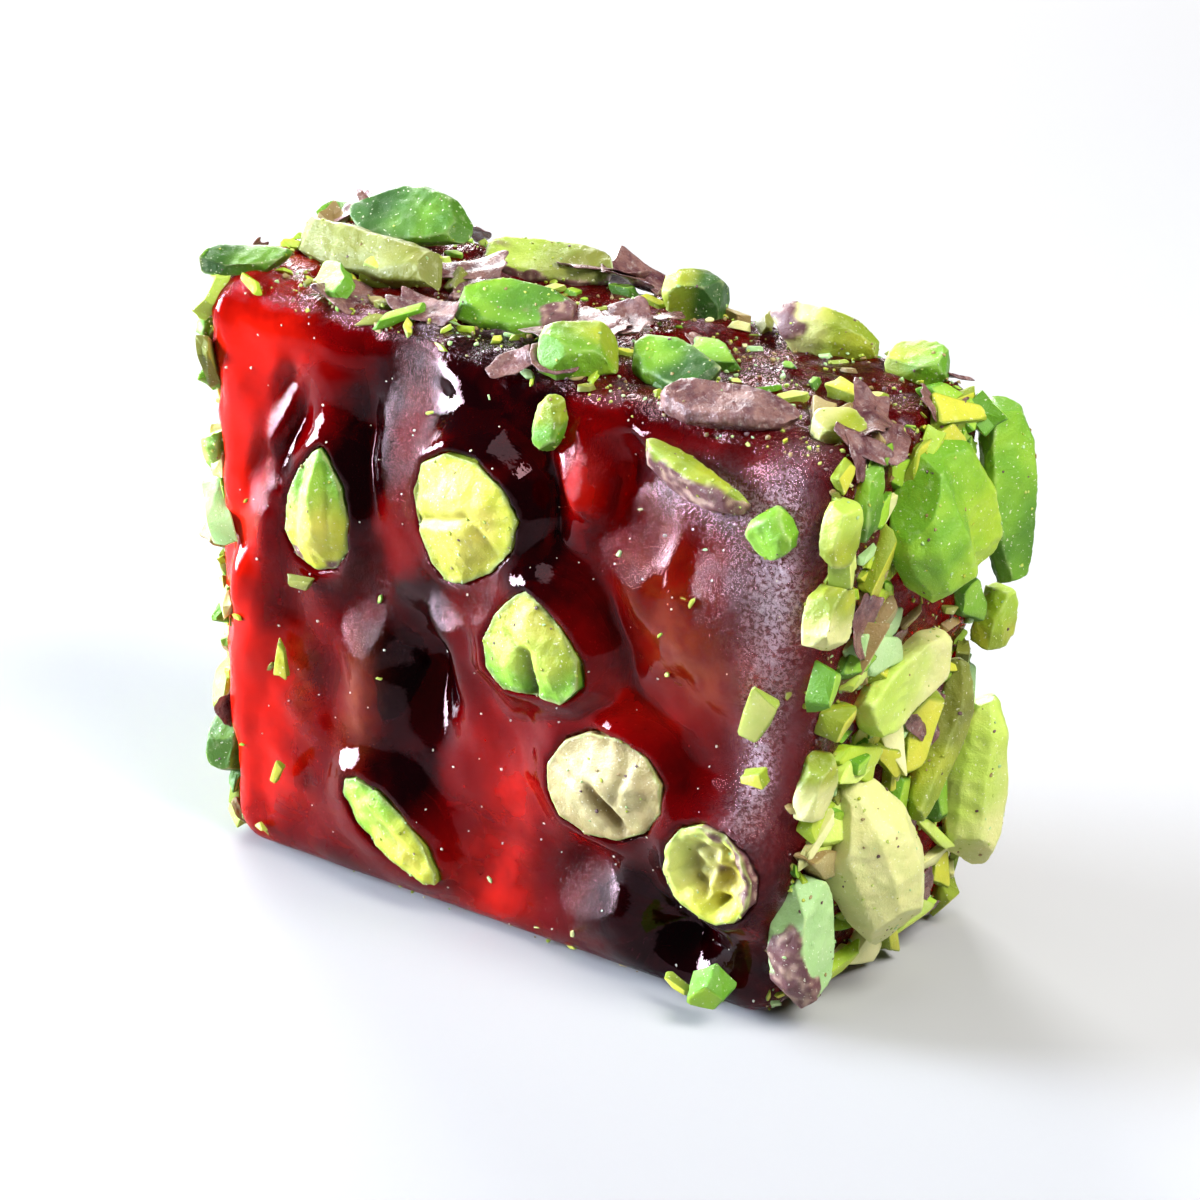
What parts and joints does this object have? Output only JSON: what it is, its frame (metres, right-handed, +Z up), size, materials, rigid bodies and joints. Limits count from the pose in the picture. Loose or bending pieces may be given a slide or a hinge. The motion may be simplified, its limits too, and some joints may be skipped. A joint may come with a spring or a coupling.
{
  "type": "turkish delight",
  "caption": "Upright slice of red jelly sweet, with cut pistachio kernels in its two cut faces and chopped pistachio pressed into its other sides.",
  "frame": {"origin": "middle of the flat base that the slice stands on", "axes": "+Z up, +X along the slice's width, -Y out of the cut face that is its front"},
  "size_m": [0.0523, 0.0235, 0.0396],
  "materials": {
    "jelly": "clear dark red starch jelly, wet gloss on the cut faces",
    "kernel": "pistachio kernel cut through, pale yellow green",
    "nut": "chopped pistachio, green outside and yellow green where cut"
  },
  "bodies": {
    "root": {"jelly": "jelly", "front_kernel_1": "kernel", "front_kernel_2": "kernel", "front_kernel_3": "kernel", "front_kernel_4": "kernel", "front_kernel_5": "kernel", "front_kernel_6": "kernel", "back_kernel_1": "kernel", "back_kernel_2": "kernel", "back_kernel_3": "kernel", "back_kernel_4": "kernel", "back_kernel_5": "kernel", "top_nut_1": "nut", "top_nut_2": "nut", "top_nut_3": "nut", "top_nut_4": "nut", "top_nut_5": "nut", "top_nut_6": "nut", "top_nut_7": "nut", "top_nut_8": "nut", "top_nut_9": "nut", "top_nut_10": "nut", "top_nut_11": "nut", "top_nut_12": "nut", "right_nut_1": "nut", "right_nut_2": "nut", "right_nut_3": "nut", "right_nut_4": "nut", "right_nut_5": "nut", "right_nut_6": "nut", "right_nut_7": "nut", "right_nut_8": "nut", "right_nut_9": "nut", "right_nut_10": "nut", "right_nut_11": "nut", "right_nut_12": "nut", "left_nut_1": "nut", "left_nut_2": "nut", "left_nut_3": "nut", "left_nut_4": "nut", "left_nut_5": "nut", "left_nut_6": "nut", "left_nut_7": "nut", "base_nut_1": "nut", "base_nut_2": "nut", "base_nut_3": "nut", "base_nut_4": "nut", "front_nut_1": "nut", "front_nut_2": "nut", "front_nut_3": "nut"}
  },
  "joints": []
}
